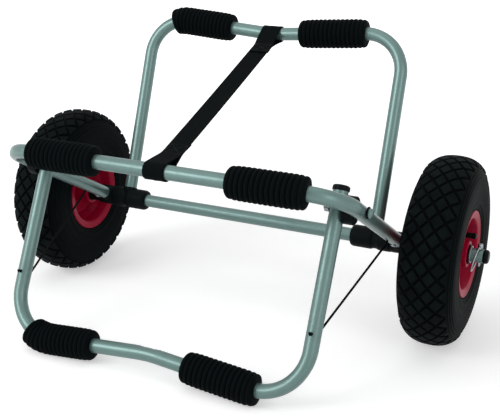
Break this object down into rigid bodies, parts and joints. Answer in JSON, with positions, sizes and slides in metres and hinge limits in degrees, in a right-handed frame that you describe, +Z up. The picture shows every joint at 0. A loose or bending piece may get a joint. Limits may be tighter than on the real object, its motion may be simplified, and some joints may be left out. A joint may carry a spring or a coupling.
{
  "type": "kayak cart",
  "caption": "Folding kayak cart: bent-tube cradle frames with foam grips on an axle with pneumatic wheels, a fold-out stand, webbing strap and stay cords.",
  "frame": {"origin": "centre of the cart's footprint, on the floor that its tyres and its stand rest on", "axes": "+X along the axle, to the wheel that the picture shows nearest; +Y from the stand to the rear frame; +Z up"},
  "size_m": [0.7272, 0.4332, 0.4202],
  "materials": {
    "tube": "bright anodised, grey with a slight teal cast",
    "steel": "zinc-plated steel",
    "socket": "black glass-filled nylon, satin",
    "grip": "black ribbed foam rubber",
    "tyre": "black rubber with a fine block tread",
    "butyl": "black butyl rubber",
    "rim": "crimson, glossy",
    "nylon": "black nylon",
    "webbing": "black woven webbing",
    "cord": "black braided cord"
  },
  "bodies": {
    "front_frame": {"axle_tube": "tube", "axle_cap_left": "nylon", "axle_cap_right": "nylon", "wheel_spacer_left": "nylon", "axle_washer_left": "steel", "wheel_spacer_right": "nylon", "axle_washer_right": "steel", "front_frame_tube": "tube", "front_grip_left": "grip", "front_grip_right": "grip", "front_frame_eye_left": "socket", "front_frame_rivet_left": "steel", "front_frame_eye_right": "socket", "front_frame_rivet_right": "steel", "pivot_spacer_left": "socket", "pivot_bolt_left": "steel", "pivot_washer_left": "nylon", "pivot_nut_left": "steel", "pivot_spacer_right": "socket", "pivot_bolt_right": "steel", "pivot_washer_right": "nylon", "pivot_nut_right": "steel", "opening_strap": "webbing", "stay_cord_left": "cord", "stay_cord_right": "cord"},
    "rear_frame": {"rear_frame_tube": "tube", "rear_grip_left": "grip", "rear_grip_right": "grip", "rear_socket_left": "socket", "rear_socket_rivet_left": "steel", "rear_socket_right": "socket", "rear_socket_rivet_right": "steel"},
    "stand": {"stand_tube": "tube", "stand_grip_left": "grip", "stand_grip_right": "grip", "stand_cap_left": "nylon", "stand_cap_right": "nylon"},
    "wheel_left": {"tyre_left": "tyre", "inner_tube_left": "butyl", "rim_left": "rim", "hub_bush_inner_left": "nylon", "hub_bush_outer_left": "nylon", "valve_stem_left": "butyl", "valve_cap_left": "nylon"},
    "linch_pin_left": {"linch_pin_left": "steel"},
    "linch_ring_left": {"linch_ring_left": "steel"},
    "wheel_right": {"tyre_right": "tyre", "inner_tube_right": "butyl", "rim_right": "rim", "hub_bush_inner_right": "nylon", "hub_bush_outer_right": "nylon", "valve_stem_right": "butyl", "valve_cap_right": "nylon"},
    "linch_pin_right": {"linch_pin_right": "steel"},
    "linch_ring_right": {"linch_ring_right": "steel"}
  },
  "joints": [
    {"name": "rear_fold", "type": "hinge", "parent": "front_frame", "child": "rear_frame", "pos_m": [0, 0.08632, 0.13], "axis": [1, 0, 0], "range_deg": [0, 68], "deforming": ["opening_strap"]},
    {"name": "stand_fold", "type": "hinge", "parent": "front_frame", "child": "stand", "pos_m": [0, -0.09955, 0.23092], "axis": [1, 0, 0], "range_deg": [0, 75], "deforming": ["stay_cord_left", "stay_cord_right"]},
    {"name": "wheel_spin_left", "type": "hinge", "parent": "front_frame", "child": "wheel_left", "pos_m": [-0.3045, 0.08632, 0.13], "axis": [1, 0, 0], "continuous": true},
    {"name": "linch_pin_lift_left", "type": "slide", "parent": "front_frame", "child": "linch_pin_left", "axis": [0, 0, 1], "range_m": [0, 0.025]},
    {"name": "linch_ring_swing_left", "type": "hinge", "parent": "linch_pin_left", "child": "linch_ring_left", "pos_m": [-0.3505, 0.08632, 0.1438], "axis": [0, 1, 0], "range_deg": [0, 150]},
    {"name": "wheel_spin_right", "type": "hinge", "parent": "front_frame", "child": "wheel_right", "pos_m": [0.3045, 0.08632, 0.13], "axis": [1, 0, 0], "continuous": true},
    {"name": "linch_pin_lift_right", "type": "slide", "parent": "front_frame", "child": "linch_pin_right", "axis": [0, 0, 1], "range_m": [0, 0.025]},
    {"name": "linch_ring_swing_right", "type": "hinge", "parent": "linch_pin_right", "child": "linch_ring_right", "pos_m": [0.3505, 0.08632, 0.1438], "axis": [0, -1, 0], "range_deg": [0, 150]}
  ],
  "couplings": [
    {"joint": "linch_ring_swing_left", "follows": "linch_pin_lift_left", "rad_per_m": 104.72},
    {"joint": "linch_ring_swing_right", "follows": "linch_pin_lift_right", "rad_per_m": 104.72}
  ]
}
